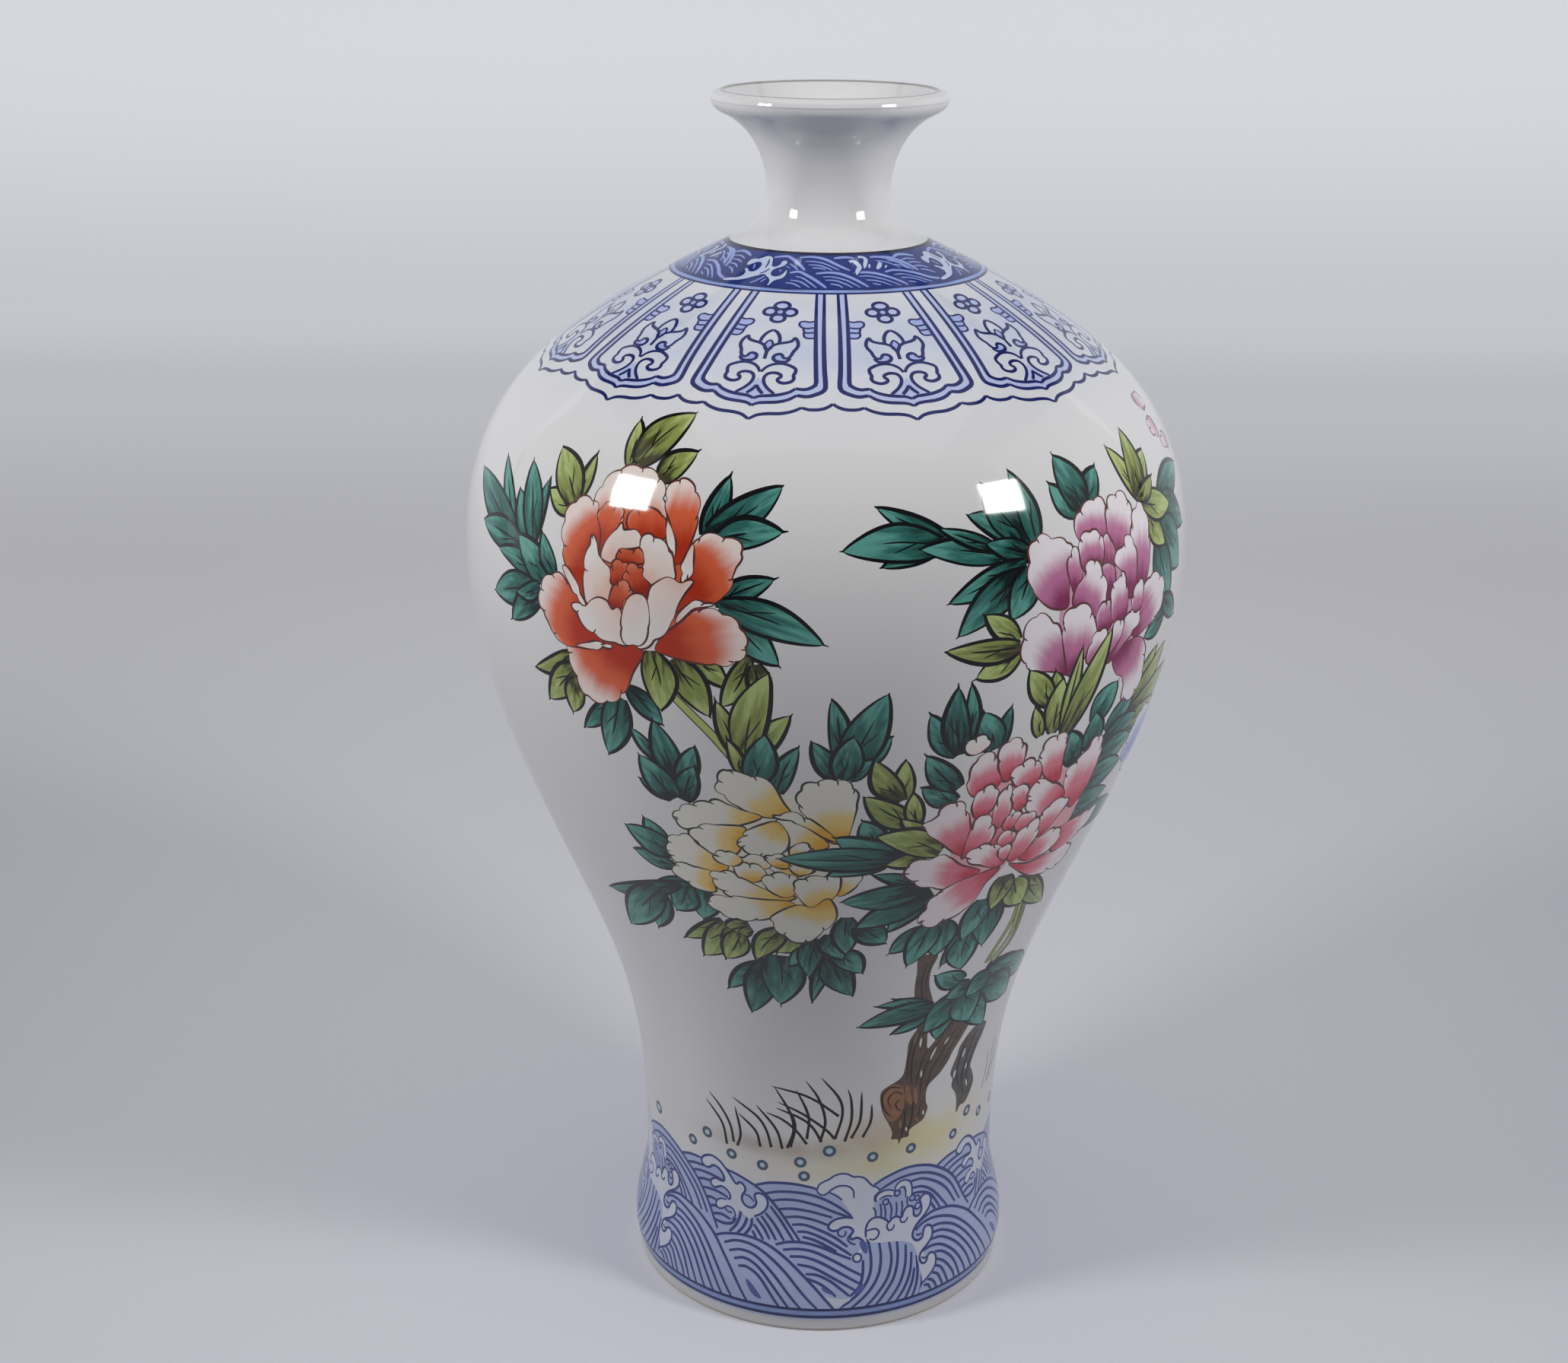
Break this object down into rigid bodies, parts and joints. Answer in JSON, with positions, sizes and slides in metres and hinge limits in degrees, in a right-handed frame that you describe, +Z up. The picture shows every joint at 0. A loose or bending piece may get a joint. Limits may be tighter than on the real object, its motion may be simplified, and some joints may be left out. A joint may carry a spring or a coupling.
{
  "type": "meiping vase",
  "caption": "Tall porcelain vase with a small flared mouth, low shoulder, full belly, drawn-in waist and spreading foot, thrown in sections joined with slip; holds a branch or stems.",
  "frame": {"origin": "centre of the foot rim, on the surface the vase stands on", "axes": "+Z up along the axis of revolution; the painted front that the picture shows faces -Y"},
  "size_m": [0.1904, 0.1904, 0.33],
  "materials": {
    "porcelain": "polished",
    "slip": "matte"
  },
  "bodies": {
    "root": {"foot_section": "porcelain", "foot_luting": "slip", "lower_body": "porcelain", "belly_luting": "slip", "upper_body": "porcelain", "neck_luting": "slip", "neck_and_mouth": "porcelain"}
  },
  "joints": []
}
